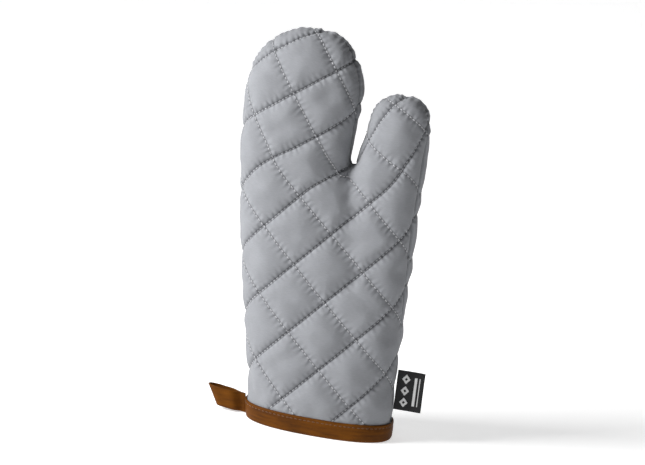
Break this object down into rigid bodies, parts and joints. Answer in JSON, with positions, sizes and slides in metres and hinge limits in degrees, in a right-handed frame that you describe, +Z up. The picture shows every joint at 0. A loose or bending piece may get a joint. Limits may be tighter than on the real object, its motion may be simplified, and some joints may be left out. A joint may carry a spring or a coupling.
{
  "type": "oven mitt",
  "caption": "Quilted cloth oven mitt with one thumb, a brown binding round the open cuff, a hanging loop and a folded side label.",
  "frame": {"origin": "middle of the overall box's underside, in the plane of the cuff's hem", "axes": "+Z up from the cuff's hem to the finger tip, +X towards the thumb, +Y towards the back; the side seam lies in the plane y = 0"},
  "size_m": [0.1722, 0.0636, 0.32],
  "materials": {
    "outer_cloth": "matte plain-weave polyester cloth, quilted in square diamonds",
    "wadding": "needled polyester wadding",
    "lining_cloth": "matte plain-weave lining",
    "seam_thread": "overlock stitch over the turned-in edge",
    "binding_tape": "smooth brown leather-look tape",
    "binding_thread": "sewing thread, tone on tone",
    "label_cloth": "black damask-woven label"
  },
  "bodies": {
    "mitt": {"outer_front": "outer_cloth", "outer_back": "outer_cloth", "wadding_front": "wadding", "wadding_back": "wadding", "lining_front": "lining_cloth", "lining_back": "lining_cloth", "side_seam_overlock": "seam_thread", "cuff_binding": "binding_tape", "binding_topstitch": "binding_thread"},
    "loop": {"hanging_loop": "binding_tape"},
    "label": {"side_label": "label_cloth"}
  },
  "joints": [
    {"name": "loop_swing", "type": "hinge", "parent": "mitt", "child": "loop", "pos_m": [-0.05575, 0, 0.0006], "axis": [-0.1331, 0, 0.9911], "range_deg": [-60, 60], "stiffness_Nm_per_rad": 0.002},
    {"name": "label_flip", "type": "hinge", "parent": "mitt", "child": "label", "pos_m": [0.06458, 0, 0.0245], "axis": [-0.0067, 0, 1], "range_deg": [-70, 70], "stiffness_Nm_per_rad": 0.001}
  ]
}
